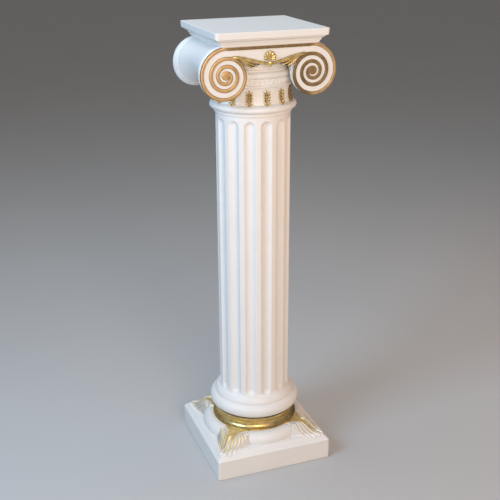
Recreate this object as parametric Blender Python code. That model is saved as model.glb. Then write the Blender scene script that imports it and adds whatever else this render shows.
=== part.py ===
"""Column plant stand: a fluted Ionic column cast as one solid.

The casting stands on a square plinth. Above it come a lower torus with a spur leaf at each corner, a scotia,
an upper torus, the fluted shaft, the necking with its ring of wheat ears, the echinus, the cushion with its
four scrolls and two bolsters, and the square abacus that the plant pot stands on.

Metres, +Z up. The origin is on the floor, at the middle of the plinth. The carved front faces -Y.
"""

import math

import bmesh
import bpy
from mathutils import Matrix, Vector

# Overall size
HEIGHT = 1.000
EMBED = 0.004  # how far a shape runs into the one that it is joined to
LEDGE = 0.0005  # fall of a ledge from its inner edge to its outer one
ROUNDING = 0.002  # softened edge of a plain band

# Plinth
PLINTH_WIDTH = 0.277
PLINTH_EDGE_HEIGHT = 0.048  # upright face, from the floor to the sloping top edge
PLINTH_SLOPE_HEIGHT = 0.012
PLINTH_SLOPE_WIDTH = 0.014
PLINTH_CORNER_RADIUS = 0.004

# Lower torus, scotia and upper torus
LOWER_TORUS_RADIUS = 0.1225
LOWER_TORUS_TUBE = 0.020
LOWER_TORUS_SINK = 0.0155  # depth of the torus in the top of the plinth
SCOTIA_RADIUS = 0.0885
SCOTIA_HEIGHT = 0.0215
BASE_FILLET_RADIUS = 0.095
BASE_FILLET_HEIGHT = 0.0087
UPPER_TORUS_RADIUS = 0.105
UPPER_TORUS_TUBE = 0.017

# Shaft and flutes
SHAFT_RADIUS = 0.081
FOOT_RING_RADIUS = 0.0925
FOOT_RING_HEIGHT = 0.012
FOOT_FLARE_HEIGHT = 0.0105
FLUTE_COUNT = 14
FLUTE_WIDTH = 0.0235
FLUTE_DEPTH = 0.007
FLUTE_BOTTOM_GAP = 0.0055  # the flutes run this far down into the flare above the foot ring
FLUTE_TOP_GAP = 0.0105  # plain shaft left above the flutes

# Necking and echinus
NECK_FILLET_RADIUS = 0.0825
NECK_FILLET_HEIGHT = 0.006
BULGE_RADIUS = 0.0935
BULGE_TUBE = 0.0125
NECK_RADIUS = 0.0795
NECK_HEIGHT = 0.0265
ASTRAGAL_TUBE = 0.0035
LEAF_BAND_RADIUS = 0.079
LEAF_BAND_HEIGHT = 0.0165
ECHINUS_RADIUS = 0.082
ECHINUS_HEIGHT = 0.015
THROAT_HEIGHT = 0.0118

# Wheat ears round the neck, one above each flute
EAR_WIDTH = 0.017
EAR_HEIGHT = 0.033
EAR_TIERS = 3
EAR_TIP_TIERS = 0.6  # height of the tip above the last tier, in tiers
EAR_NOTCH_WIDTH = 0.010  # across the ear between two tiers
GRAIN_RISE = 0.75  # height of a grain's point in its tier
EAR_RELIEF = 0.0055
EAR_RIDGE = 0.0025  # how much further the middle of an ear stands out than its sides
EAR_FOOT_DROP = 0.0065  # the ears start this far below the top of the bulge
EAR_LEAN = 0.0075  # how much further an ear's foot stands out than its tip, over the bulge

# Cushion, scrolls and bolsters
SCROLL_SPACING = 0.187  # from eye to eye across the front
SCROLL_RADIUS = 0.052  # from the eye to the middle of the outermost fillet
SCROLL_PITCH = 0.0148  # what the radius loses in each turn
SCROLL_TURNS = 2.85
SCROLL_DEPTH = 0.197  # between the scrolls' faces on the front and the back
FILLET_WIDTH = 0.0075
FILLET_RELIEF = 0.004
SCROLL_RIM = 0.0045  # drum outside the middle of the outermost fillet
CHANNEL_SINK = 0.0015  # the channel between the scrolls lies this far behind their faces
EYE_RADIUS = 0.009
EYE_RELIEF = 0.005
BOLSTER_WAIST = 0.83  # the bolster's size at its waist, as a share of its ends
WAIST_LENGTH = 0.076  # stretch of the bolster that keeps the waist's size
BOLSTER_RIM_LENGTH = 0.014
DRUM_START_DEG = 11  # the drums' outline starts this far before the scroll, inside the cushion
BEAD_RELIEF = 0.003  # a bead runs round each drum, behind its scroll
GARLAND_WIDTH = 0.0075
GARLAND_RELIEF = 0.006
GARLAND_DROP = 0.0195  # how far the garland hangs below the scrolls' second turn

# Palmettes and half leaves on the front and back
PALMETTE_RIBS = 5
PALMETTE_HEIGHT = 0.026
PALMETTE_SPREAD_DEG = 130
PALMETTE_STEM = 0.006
PALMETTE_SIDE_SHARE = 0.5  # length of the outermost ribs against the middle one
PALMETTE_RELIEF = 0.0055
PALMETTE_FALL = 0.0022  # loss of relief from the palmette's root to its tip
KNOT_RADIUS = 0.005
KNOT_RELIEF = 0.0085
KNOT_RISE = 0.001  # height of the knot's middle above the garland's
HALF_LEAF_RIBS = 3
HALF_LEAF_LENGTH = 0.042
HALF_LEAF_SPREAD_DEG = 26
HALF_LEAF_TURN_DEG = 25  # slope of its middle below the level
HALF_LEAF_STEM = 0.007
HALF_LEAF_SIDE_SHARE = 0.85
HALF_LEAF_RELIEF = 0.005
FACE_RIB_HEIGHT = 0.0018
GROOVE_SHARE = 0.93  # length of the grooves between a leaf's ribs against the ribs

# Depth of each raised shape's foot behind the scrolls' faces: no two are flush
FILLET_FOOT = 0.0020
GARLAND_FOOT = 0.0024
PALMETTE_FOOT = 0.0028
HALF_LEAF_FOOT = 0.0032
BUTTON_FOOT = 0.0036

# Spur leaves on the corners of the plinth
LEAF_RIBS = 6
LEAF_SPREAD_DEG = 112
LEAF_STEM = 0.020
LEAF_SIDE_SHARE = 0.42  # length of the outermost ribs against the middle one
LEAF_RELIEF = 0.0025
LEAF_RIB_HEIGHT = 0.0028
LEAF_TIP_THICKNESS = 0.0035
LEAF_TIP_GAP = 0.0065  # from the leaf's tip to the corner of the flat top, along the diagonal

# Abacus
ABACUS_WIDTH = 0.244
ABACUS_FACE_HEIGHT = 0.014
ABACUS_CORNER_RADIUS = 0.004
ABACUS_COVE_HEIGHT = 0.0085
ABACUS_COVE_WIDTH = 0.0105
ABACUS_FOOT_HEIGHT = 0.009
ABACUS_FOOT_STEP = 0.003

# Facets
TURNED_STEPS = 3 * FLUTE_COUNT
FLUTE_STEPS = 10
FILLET_STEPS_PER_TURN = 12
BUTTON_STEPS = 10

# Levels worked out from the sizes above, from the floor up
PLINTH_TOP = PLINTH_EDGE_HEIGHT + PLINTH_SLOPE_HEIGHT
LOWER_TORUS_Z = PLINTH_TOP - LOWER_TORUS_SINK + LOWER_TORUS_TUBE
LOWER_TORUS_TOP = LOWER_TORUS_Z + LOWER_TORUS_TUBE
BASE_FILLET_BOTTOM = LOWER_TORUS_TOP + SCOTIA_HEIGHT
UPPER_TORUS_Z = BASE_FILLET_BOTTOM + BASE_FILLET_HEIGHT + UPPER_TORUS_TUBE
FOOT_RING_BOTTOM = UPPER_TORUS_Z + UPPER_TORUS_TUBE
FLARE_BOTTOM = FOOT_RING_BOTTOM + FOOT_RING_HEIGHT
SHAFT_BOTTOM = FLARE_BOTTOM + FOOT_FLARE_HEIGHT

# Levels from the top down
ABACUS_BOTTOM = HEIGHT - ABACUS_FACE_HEIGHT - ABACUS_COVE_HEIGHT - ABACUS_FOOT_HEIGHT
SCROLL_Z = ABACUS_BOTTOM - FILLET_WIDTH / 4 - SCROLL_RADIUS
SECOND_TURN_Z = SCROLL_Z + SCROLL_RADIUS - SCROLL_PITCH
GARLAND_Z = SECOND_TURN_Z - GARLAND_DROP  # middle of the garland at its lowest
THROAT_BOTTOM = GARLAND_Z - GARLAND_WIDTH / 2 - THROAT_HEIGHT
ECHINUS_BOTTOM = THROAT_BOTTOM - ECHINUS_HEIGHT
LEAF_BAND_BOTTOM = ECHINUS_BOTTOM - LEAF_BAND_HEIGHT
ASTRAGAL_Z = LEAF_BAND_BOTTOM - ASTRAGAL_TUBE
NECK_BOTTOM = ASTRAGAL_Z - ASTRAGAL_TUBE - NECK_HEIGHT
BULGE_Z = NECK_BOTTOM - BULGE_TUBE
NECK_FILLET_BOTTOM = BULGE_Z - BULGE_TUBE - NECK_FILLET_HEIGHT
FACE_Y = -SCROLL_DEPTH / 2  # the scrolls' faces on the front, which their fillets stand on


def flat(face):
    """Whether a face's corners lie in one plane, within a thousandth of a millimetre."""
    face.normal_update()
    start = face.verts[0].co
    return all(abs((vert.co - start).dot(face.normal)) < 1e-6 for vert in face.verts)


def keep(name, bm):
    """An object from a bmesh, in flat faces that point out."""
    bmesh.ops.triangulate(bm, faces=[face for face in bm.faces if not flat(face)])
    bmesh.ops.recalc_face_normals(bm, faces=bm.faces)
    mesh = bpy.data.meshes.new(name)
    bm.to_mesh(mesh)
    bm.free()
    obj = bpy.data.objects.new(name, mesh)
    bpy.context.scene.collection.objects.link(obj)
    return obj


def arc(centre_r, centre_z, radius, start_deg, end_deg, steps):
    """Points of a round stretch of a profile, as (radius, height) pairs."""
    angles = [math.radians(start_deg + (end_deg - start_deg) * i / steps) for i in range(steps + 1)]
    return [(centre_r + radius * math.cos(a), centre_z + radius * math.sin(a)) for a in angles]


def turned(bm, profile, steps, matrix=Matrix.Identity(4)):
    """A profile of (radius, height) pairs, from the axis and back to it, spun round Z."""
    loops = []
    for radius, z in profile:
        count = steps if radius else 1
        angles = [math.tau * (i + 0.5) / steps - math.pi / 2 for i in range(count)]
        spots = [Vector((radius * math.cos(a), radius * math.sin(a), z)) for a in angles]
        loops.append([bm.verts.new(matrix @ spot) for spot in spots])
    for low, high in zip(loops, loops[1:]):
        for i in range(steps):
            j = (i + 1) % steps
            corners = [low[i % len(low)], low[j % len(low)], high[j % len(high)], high[i % len(high)]]
            bm.faces.new(list(dict.fromkeys(corners)))
    return bm


def loft(bm, rings):
    """A closed skin through rings of points, with a flat face at each end."""
    loops = [[bm.verts.new(p) for p in ring] for ring in rings]
    count = len(loops[0])
    for low, high in zip(loops, loops[1:]):
        for i in range(count):
            j = (i + 1) % count
            bm.faces.new((low[i], low[j], high[j], high[i]))
    bm.faces.new(list(reversed(loops[0])))
    bm.faces.new(loops[-1])
    return bm


def rounded_square(half, radius, z, corner_steps=2):
    """A square ring with round corners, at height z."""
    ring = []
    for quarter in range(4):
        turn = math.radians(90 * quarter)
        centre = Matrix.Rotation(turn, 3, "Z") @ Vector((half - radius, half - radius, 0))
        for i in range(corner_steps + 1):
            a = turn + math.radians(90) * i / corner_steps
            ring.append((centre.x + radius * math.cos(a), centre.y + radius * math.sin(a), z))
    return ring


def combine(body, others, operation):
    """Joins other shapes to the body, or cuts them away, in one go."""
    group = bpy.data.collections.new(operation)
    for other in others:
        group.objects.link(other)
    modifier = body.modifiers.new(operation, "BOOLEAN")
    modifier.operation = operation
    modifier.solver = "EXACT"
    modifier.operand_type = "COLLECTION"
    modifier.collection = group
    depsgraph = bpy.context.evaluated_depsgraph_get()
    mesh = bpy.data.meshes.new_from_object(body.evaluated_get(depsgraph))
    body.modifiers.clear()
    body.data = mesh
    for other in others:
        bpy.data.objects.remove(other)
    bpy.data.collections.remove(group)


def plinth():
    """The square block under the column, with a sloping edge round its flat top."""
    half = PLINTH_WIDTH / 2
    inner = half - PLINTH_SLOPE_WIDTH
    rings = [
        rounded_square(half, PLINTH_CORNER_RADIUS, 0),
        rounded_square(half, PLINTH_CORNER_RADIUS, PLINTH_EDGE_HEIGHT),
        rounded_square(inner, PLINTH_CORNER_RADIUS, PLINTH_TOP),
    ]
    return keep("plinth", loft(bmesh.new(), rings))


def base_profile():
    """Profile from the plinth to the shaft: lower torus, scotia, fillet, upper torus, foot ring and flare."""
    lower = arc(LOWER_TORUS_RADIUS - LOWER_TORUS_TUBE, LOWER_TORUS_Z, LOWER_TORUS_TUBE, -30, 90, 4)
    lip_r, lip_z = lower[-1]
    rise = BASE_FILLET_BOTTOM - lip_z
    scotia = []
    for i in range(1, 4):
        t = math.radians(90 * i / 3)
        scotia.append(
            (SCOTIA_RADIUS + (lip_r - SCOTIA_RADIUS) * (1 - math.sin(t)), lip_z + rise * (1 - math.cos(t)))
        )
    fillet = [
        (BASE_FILLET_RADIUS, BASE_FILLET_BOTTOM),
        (BASE_FILLET_RADIUS, UPPER_TORUS_Z - UPPER_TORUS_TUBE - LEDGE),
    ]
    upper = arc(UPPER_TORUS_RADIUS - UPPER_TORUS_TUBE, UPPER_TORUS_Z, UPPER_TORUS_TUBE, -75, 75, 5)
    ring = [
        (FOOT_RING_RADIUS, FOOT_RING_BOTTOM),
        (FOOT_RING_RADIUS, FLARE_BOTTOM - ROUNDING),
        (FOOT_RING_RADIUS - ROUNDING, FLARE_BOTTOM),
    ]
    foot = PLINTH_TOP - EMBED * 2
    start = [(0, foot), (lower[0][0], foot)]
    return start + lower + scotia + fillet + upper + ring + [(SHAFT_RADIUS, SHAFT_BOTTOM)]


def neck_profile():
    """Profile from the shaft into the cushion: fillet, bulge, neck, astragal, leaf band, echinus, throat."""
    fillet = [
        (SHAFT_RADIUS, NECK_FILLET_BOTTOM),
        (NECK_FILLET_RADIUS, NECK_FILLET_BOTTOM + LEDGE),
        (NECK_FILLET_RADIUS, NECK_FILLET_BOTTOM + NECK_FILLET_HEIGHT),
    ]
    bulge = arc(BULGE_RADIUS - BULGE_TUBE, BULGE_Z, BULGE_TUBE, -76, 84, 4)
    astragal = arc(NECK_RADIUS, ASTRAGAL_Z, ASTRAGAL_TUBE, -70, 70, 2)
    leaf_band = [
        (LEAF_BAND_RADIUS, LEAF_BAND_BOTTOM + LEDGE),
        (LEAF_BAND_RADIUS, ECHINUS_BOTTOM),
    ]
    echinus = [
        (ECHINUS_RADIUS, ECHINUS_BOTTOM + ROUNDING),
        (ECHINUS_RADIUS, THROAT_BOTTOM - ROUNDING),
    ]
    inside = GARLAND_Z + GARLAND_WIDTH
    throat = [(LEAF_BAND_RADIUS, THROAT_BOTTOM), (LEAF_BAND_RADIUS, inside), (0, inside)]
    neck = [(NECK_RADIUS, NECK_BOTTOM + LEDGE)]
    return fillet + bulge + neck + astragal + leaf_band + echinus + throat


def flute_cutters():
    """One long round-ended rod for each flute, standing with its axis outside the shaft."""
    half = FLUTE_WIDTH / 2
    chord = math.sqrt(SHAFT_RADIUS**2 - half**2)
    bottom = SHAFT_RADIUS - FLUTE_DEPTH
    depth = chord - bottom
    rod = (half**2 + depth**2) / (2 * depth)
    low = SHAFT_BOTTOM - FLUTE_BOTTOM_GAP + half
    high = NECK_FILLET_BOTTOM - FLUTE_TOP_GAP - half
    profile = arc(0, low, rod, -90, 0, 3) + arc(0, high, rod, 0, 90, 3)
    profile[0], profile[-1] = (0, low - rod), (0, high + rod)
    bm = bmesh.new()
    for i in range(FLUTE_COUNT):
        turn = Matrix.Rotation(math.tau * i / FLUTE_COUNT, 4, "Z")
        turned(bm, profile, FLUTE_STEPS, turn @ Matrix.Translation((0, -bottom - rod, 0)))
    return keep("flutes", bm)


def ear_mesh(bm, matrix):
    """A wheat ear: pairs of pointed grains on a raised middle line, standing on the neck."""
    tier = EAR_HEIGHT / (EAR_TIERS + EAR_TIP_TIERS)
    back = -(NECK_RADIUS - EMBED)
    side = -(NECK_RADIUS + EAR_RELIEF - EAR_RIDGE)
    middle = -(NECK_RADIUS + EAR_RELIEF)

    def lean(z):
        return -EAR_LEAN * (1 - z / EAR_HEIGHT)

    right = []
    for i in range(EAR_TIERS):
        right.append((EAR_NOTCH_WIDTH / 2, tier * i))
        right.append((EAR_WIDTH / 2, tier * (i + GRAIN_RISE)))
    tip = (0, EAR_HEIGHT)
    outline = [(0, 0)] + right + [tip] + [(-x, z) for x, z in reversed(right)]
    front = [bm.verts.new((x, (side if x else middle) + lean(z), z)) for x, z in outline]
    rear = [bm.verts.new((x, back, z)) for x, z in outline]
    count = len(outline)
    for i in range(count):
        j = (i + 1) % count
        bm.faces.new((front[i], front[j], rear[j], rear[i]))
    bm.faces.new(list(reversed(rear)))
    inner = [bm.verts.new((0, middle + lean(tier * i), tier * i)) for i in range(1, EAR_TIERS)]
    spine = [front[0], *inner, front[1 + 2 * EAR_TIERS]]
    for i in range(EAR_TIERS):
        for notch, point, last in ear_side(front, i):
            bm.faces.new((spine[i], notch, point, spine[i + 1]))
            if i + 1 < EAR_TIERS:
                bm.faces.new((spine[i + 1], point, last))
    bmesh.ops.transform(bm, matrix=matrix, verts=[*front, *rear, *inner])


def ear_side(front, tier):
    """The corners of one tier of an ear, on its right and its left: notch, grain's point and next notch."""
    count = len(front)
    return [[front[(sign * (1 + 2 * tier + k)) % count] for k in range(3)] for sign in (1, -1)]


def ears():
    """The ring of wheat ears, one above each flute."""
    bm = bmesh.new()
    foot = NECK_BOTTOM - EAR_FOOT_DROP
    for i in range(FLUTE_COUNT):
        turn = Matrix.Rotation(math.tau * i / FLUTE_COUNT, 4, "Z")
        ear_mesh(bm, turn @ Matrix.Translation((0, 0, foot)))
    return keep("ears", bm)


def scroll_radius(turn_deg):
    """The scroll's radius after so many degrees, from its start under the abacus."""
    return SCROLL_RADIUS - SCROLL_PITCH * turn_deg / 360


def scroll_point(turn_deg, extra=0.0):
    """Where the right-hand scroll is, as (x, z) from its eye: it starts at the top and turns outwards."""
    radius = scroll_radius(turn_deg) + extra
    a = math.radians(90 - turn_deg)
    return radius * math.cos(a), radius * math.sin(a)


def garland_z(x):
    """Height of the garland's middle line at a distance x from the middle of the front."""
    share = min(1.0, abs(x) / (SCROLL_SPACING / 2))
    return GARLAND_Z + GARLAND_DROP * math.sin(math.pi / 2 * share) ** 2


def cushion():
    """The block between the scrolls, whose lower edge follows the garland, on the front and the back."""
    half = SCROLL_SPACING / 2 + EMBED / 2
    steps = 8
    bottom = [-half + 2 * half * i / steps for i in range(steps + 1)]
    outline = [(x, garland_z(x)) for x in bottom]
    top = ABACUS_BOTTOM + EMBED / 2
    outline += [(half, top), (-half, top)]
    face = FACE_Y + CHANNEL_SINK
    rings = [[(x, y, z) for x, z in outline] for y in (face, -face)]
    return keep("cushion", loft(bmesh.new(), rings))


def bolster(side):
    """The scroll drums at the front and the back with the waisted roll between them, on one side."""
    steps = 15
    reach = -FACE_Y
    inner = reach - BOLSTER_RIM_LENGTH
    rim = [
        (reach, 1.0, 0),
        (reach - BEAD_RELIEF, 1.0, BEAD_RELIEF),
        (inner + BEAD_RELIEF, 1.0, BEAD_RELIEF),
        (inner, 1.0, 0),
    ]
    half = rim + [(WAIST_LENGTH / 2, BOLSTER_WAIST, 0)]
    stations = half + [(-y, size, bead) for y, size, bead in reversed(half)]
    eye_x = SCROLL_SPACING / 2
    hang = SCROLL_Z - ABACUS_BOTTOM
    rings = []
    turns = [360 * i / steps - DRUM_START_DEG for i in range(steps + 1)]
    for y, size, bead in stations:
        outline = [scroll_point(turn, SCROLL_RIM + bead) for turn in turns]
        rings.append([(side * (eye_x + x * size), y, ABACUS_BOTTOM + (hang + z) * size) for x, z in outline])
    return keep("bolster", loft(bmesh.new(), rings))


def strip(name, path, width, foot, relief):
    """A raised band on the front that comes to a ridge: it follows a path of (x, z) points."""
    rings = []
    for i, point in enumerate(path):
        before = Vector(path[max(i - 1, 0)])
        after = Vector(path[min(i + 1, len(path) - 1)])
        along = (after - before).normalized()
        across = Vector((-along.y, along.x)) * width / 2
        here = Vector(point)
        ring = []
        for spot, y in ((here - across, foot), (here + across, foot), (here, -relief)):
            ring.append((spot.x, FACE_Y + y, spot.y))
        rings.append(ring)
    return keep(name, loft(bmesh.new(), rings))


def scroll_fillet():
    """The raised band that runs under the abacus and winds into both scrolls of the front."""
    steps = round(FILLET_STEPS_PER_TURN * SCROLL_TURNS)
    eye_x = SCROLL_SPACING / 2
    right = []
    for i in range(steps + 1):
        x, z = scroll_point(360 * SCROLL_TURNS * i / steps)
        right.append((eye_x + x, SCROLL_Z + z))
    left = [(-x, z) for x, z in reversed(right)]
    return strip("fillet", left + right, FILLET_WIDTH, FILLET_FOOT, FILLET_RELIEF)


def garland():
    """The hanging band between the second turns of the two scrolls of the front."""
    half = SCROLL_SPACING / 2
    steps = 8
    path = [(x, garland_z(x)) for x in (-half + 2 * half * i / steps for i in range(steps + 1))]
    return strip("garland", path, GARLAND_WIDTH, GARLAND_FOOT, GARLAND_RELIEF)


def ribbed_leaf(name, ribs, rows, spread_deg, stem, length, side_share, surface, rib, foot, matrix):
    """A leaf with raised ribs that fan out along +X, on a flat underside.

    Its ribs start side by side across the stem. The surface gives the height at each (x, y).
    """
    columns = 2 * ribs + 1
    bm = bmesh.new()
    upper, lower = [], []
    for c in range(columns):
        share = c / (columns - 1) * 2 - 1
        angle = math.radians(spread_deg / 2 * share)
        lift = rib if c % 2 else 0
        reach = length * (1 - (1 - side_share) * share**2) * (1 if c % 2 else GROOVE_SHARE)
        column = []
        for row in range(rows + 1):
            along = reach * row / rows
            x = along * math.cos(angle)
            y = stem / 2 * share + along * math.sin(angle)
            column.append((x, y, surface(x, y) + lift))
        upper.append([bm.verts.new(spot) for spot in column])
        lower.append([bm.verts.new((x, y, foot)) for x, y, z in (column[0], column[-1])])
    for c in range(columns - 1):
        here, there, under, beside = upper[c], upper[c + 1], lower[c], lower[c + 1]
        for row in range(rows):
            bm.faces.new((here[row], here[row + 1], there[row + 1], there[row]))
        bm.faces.new((here[rows], under[1], beside[1], there[rows]))
        bm.faces.new((here[0], there[0], beside[0], under[0]))
        bm.faces.new((under[0], beside[0], beside[1], under[1]))
    for c in (0, columns - 1):
        bm.faces.new([*upper[c], lower[c][1], lower[c][0]])
    bmesh.ops.transform(bm, matrix=matrix, verts=bm.verts)
    return keep(name, bm)


def on_face(x, z, turn_deg):
    """Matrix that lays a shape on the front, its +X turned from the level and its +Z towards the viewer."""
    turn = Matrix.Rotation(math.radians(turn_deg), 4, "Z")
    return Matrix.Translation((x, FACE_Y, z)) @ Matrix.Rotation(math.pi / 2, 4, "X") @ turn


def palmette():
    """The flower that stands on the middle of the garland."""

    def surface(x, y):
        return PALMETTE_RELIEF - PALMETTE_FALL * math.hypot(x, y) / PALMETTE_HEIGHT

    place = on_face(0, GARLAND_Z, 90)
    return ribbed_leaf(
        "palmette", PALMETTE_RIBS, 1, PALMETTE_SPREAD_DEG, PALMETTE_STEM, PALMETTE_HEIGHT,
        PALMETTE_SIDE_SHARE, surface, FACE_RIB_HEIGHT, -PALMETTE_FOOT, place
    )


def half_leaf(side):
    """The ribbed half leaf that lies along the garland from the second turn of a scroll."""

    def surface(x, y):
        return HALF_LEAF_RELIEF

    root_x = SCROLL_SPACING / 2 - SCROLL_PITCH
    turn = -HALF_LEAF_TURN_DEG if side < 0 else 180 + HALF_LEAF_TURN_DEG
    place = on_face(side * root_x, garland_z(root_x), turn)
    return ribbed_leaf(
        "half_leaf", HALF_LEAF_RIBS, 1, HALF_LEAF_SPREAD_DEG, HALF_LEAF_STEM, HALF_LEAF_LENGTH,
        HALF_LEAF_SIDE_SHARE, surface, FACE_RIB_HEIGHT, -HALF_LEAF_FOOT, place
    )


def button(name, radius, relief, x, z):
    """A round knob on the front, with a bevelled edge."""
    bevel = relief / 3
    profile = [
        (0, -BUTTON_FOOT),
        (radius, -BUTTON_FOOT),
        (radius, relief - 2 * bevel),
        (radius - bevel, relief - bevel / 2),
        (0, relief),
    ]
    return keep(name, turned(bmesh.new(), profile, BUTTON_STEPS, on_face(x, z, 0)))


def face_carving():
    """The shapes raised on the front: fillet, eyes, garland, palmette with its knot, and half leaves."""
    shapes = [scroll_fillet(), garland(), palmette(), half_leaf(1), half_leaf(-1)]
    for side in (1, -1):
        shapes.append(button("eye", EYE_RADIUS, EYE_RELIEF, side * SCROLL_SPACING / 2, SCROLL_Z))
    shapes.append(button("knot", KNOT_RADIUS, KNOT_RELIEF, 0, GARLAND_Z + KNOT_RISE))
    return shapes


def turned_about(obj, turn_deg):
    """A copy of a shape, turned round the column's axis."""
    copy = obj.copy()
    copy.data = obj.data.copy()
    bpy.context.scene.collection.objects.link(copy)
    copy.data.transform(Matrix.Rotation(math.radians(turn_deg), 4, "Z"))
    return copy


def spur_leaf(quarter):
    """A ribbed leaf that runs from the scotia over the lower torus to a corner of the plinth."""
    crest = LOWER_TORUS_RADIUS - LOWER_TORUS_TUBE
    corner = (PLINTH_WIDTH / 2 - PLINTH_SLOPE_WIDTH) * math.sqrt(2)
    end = corner - LEAF_TIP_GAP
    top = LOWER_TORUS_TOP + LEAF_RELIEF
    tip = PLINTH_TOP + LEAF_TIP_THICKNESS

    def surface(x, y):
        drop = (math.hypot(SCOTIA_RADIUS + x, y) - crest) / (end - crest)
        return top + (tip - top) * math.sin(math.pi / 2 * max(0.0, drop))

    turn = Matrix.Rotation(math.radians(45 + 90 * quarter), 4, "Z")
    place = turn @ Matrix.Translation((SCOTIA_RADIUS, 0, 0))
    return ribbed_leaf(
        "spur_leaf", LEAF_RIBS, 3, LEAF_SPREAD_DEG, LEAF_STEM, end - SCOTIA_RADIUS, LEAF_SIDE_SHARE,
        surface, LEAF_RIB_HEIGHT, PLINTH_TOP - EMBED, place
    )


def abacus():
    """The square slab on top: upright face, cove and foot fillet."""
    half = ABACUS_WIDTH / 2
    radius = ABACUS_CORNER_RADIUS
    cove_top = HEIGHT - ABACUS_FACE_HEIGHT
    cove_bottom = cove_top - ABACUS_COVE_HEIGHT
    inner = half - ABACUS_COVE_WIDTH
    foot = inner - ABACUS_FOOT_STEP
    levels = [
        (foot, ABACUS_BOTTOM),
        (foot, cove_bottom),
        (inner, cove_bottom + LEDGE),
        (inner + ABACUS_COVE_WIDTH / 4, cove_bottom + ABACUS_COVE_HEIGHT / 2),
        (half - ROUNDING / 2, cove_top),
        (half, cove_top + ROUNDING / 2),
        (half, HEIGHT - ROUNDING),
        (half - ROUNDING, HEIGHT),
    ]
    return keep("abacus", loft(bmesh.new(), [rounded_square(size, radius, z) for size, z in levels]))


def painted_plaster():
    """White satin paint, as on the casting."""
    material = bpy.data.materials.new("white_plaster")
    material.use_nodes = True
    shader = material.node_tree.nodes["Principled BSDF"]
    shader.inputs["Base Color"].default_value = (0.86, 0.84, 0.81, 1)
    shader.inputs["Roughness"].default_value = 0.45
    shader.inputs["Metallic"].default_value = 0.0
    return material


def column():
    """The whole casting as one solid."""
    turning = turned(bmesh.new(), base_profile() + neck_profile(), TURNED_STEPS)
    body = keep("column_plant_stand", turning)
    combine(body, [flute_cutters()], "DIFFERENCE")
    front = face_carving()
    back = [turned_about(shape, 180) for shape in front]
    leaves = [spur_leaf(quarter) for quarter in range(4)]
    blocks = [plinth(), ears(), cushion(), bolster(1), bolster(-1), abacus()]
    combine(body, blocks + leaves + front + back, "UNION")
    body.data.materials.clear()
    body.data.materials.append(painted_plaster())
    body.data.shade_smooth()
    body.data.set_sharp_from_angle(angle=math.radians(35))


for old in list(bpy.data.objects):
    bpy.data.objects.remove(old)
column()
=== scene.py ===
"""Looks of the column plant stand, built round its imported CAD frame. Metres, +Z up, front towards -Y."""

import math

import bmesh
import bpy
import numpy as np
from mathutils import Matrix, Vector


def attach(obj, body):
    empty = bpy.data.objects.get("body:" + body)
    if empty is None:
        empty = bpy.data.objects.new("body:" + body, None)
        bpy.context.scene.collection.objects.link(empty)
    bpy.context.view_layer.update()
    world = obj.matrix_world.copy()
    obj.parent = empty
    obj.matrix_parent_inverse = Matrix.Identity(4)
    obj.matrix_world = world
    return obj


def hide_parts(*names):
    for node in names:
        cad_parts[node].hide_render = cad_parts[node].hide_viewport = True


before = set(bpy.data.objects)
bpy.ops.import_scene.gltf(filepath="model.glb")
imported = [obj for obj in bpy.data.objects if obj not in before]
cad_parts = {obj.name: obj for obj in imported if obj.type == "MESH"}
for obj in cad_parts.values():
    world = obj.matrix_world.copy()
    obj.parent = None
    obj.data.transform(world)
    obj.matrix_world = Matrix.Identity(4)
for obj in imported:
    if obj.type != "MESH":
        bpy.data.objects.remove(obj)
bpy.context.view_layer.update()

# Camera, as solved from the photo
IMAGE_WIDTH_PX = 500
FOCAL_LENGTH_PX = 902.278
SENSOR_WIDTH_MM = 36.0
CAMERA_AZIMUTH_DEG = -20.5767
CAMERA_DISTANCE = 1.9167
CAMERA_HEIGHT = 1.2293
CAMERA_PITCH_DEG = -20.8952
CAMERA_YAW_DEG = 0.2372
CAMERA_ROLL_DEG = -0.3156

# Plinth, lower torus and spur leaves
PLINTH_HALF = 0.1385
PLINTH_EDGE_Z = 0.048
PLINTH_TOP_Z = 0.060
PLINTH_SLOPE_WIDTH = 0.014
PLINTH_CORNER_RADIUS = 0.005
TORUS_RADIUS = 0.1025  # to the middle of the lower torus
TORUS_TUBE = 0.020
TORUS_Z = 0.0645
TORUS_END_DEG = 13.0  # from a corner's diagonal to the end of the broken torus
TORUS_END_LENGTH = 0.012
LEAF_FINGERS = 6  # on each side of the ribbon
GILT_FINGERS = (0.82, 0.66, 0.56, 0.64, 0.52, 0.58)  # gold on the ridges, from the middle outward
FINGER_REACH = 0.1725  # from the axis to the tip of the first finger
FINGER_REACH_LOSS = 0.0430  # and this much less for the last one
RIBBON_END = 0.171  # along the diagonal
LEAF_STEP = 0.0008
LEAF_TURN_DEG = 17.0  # from the diagonal to the outermost finger's tip
LEAF_WEB_REACH = 0.1175  # the smooth part of a leaf ends here on the diagonal
LEAF_WEB_FALL = 0.0060  # and this much nearer the axis at the outermost fingers

# Shaft, by the names of its tree's inputs
SHAFT = {
    "Radius": 0.081,
    "Bottom": 0.1605,
    "Top": 0.823,
    "Flutes": 14,
    "Flute width": 0.0240,
    "Flute depth": 0.0072,
    "Flute bottom": 0.1655,
    "Flute top": 0.8108,
    "Flare height": 0.0105,
    "Flare width": 0.0080,
}
COLUMNS_PER_FLUTE = 34
SHAFT_ROWS = 96
END_ROWS = 0.45  # share of the rows that lie in each end stretch
END_STRETCH = 0.032

# Abacus and cushion
ABACUS_BOTTOM = 0.9685
ABACUS_CORNER_RADIUS = 0.0075
CUSHION_Y = -0.0972
FACE_Y = -0.0985  # the scrolls' faces on the front

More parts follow.
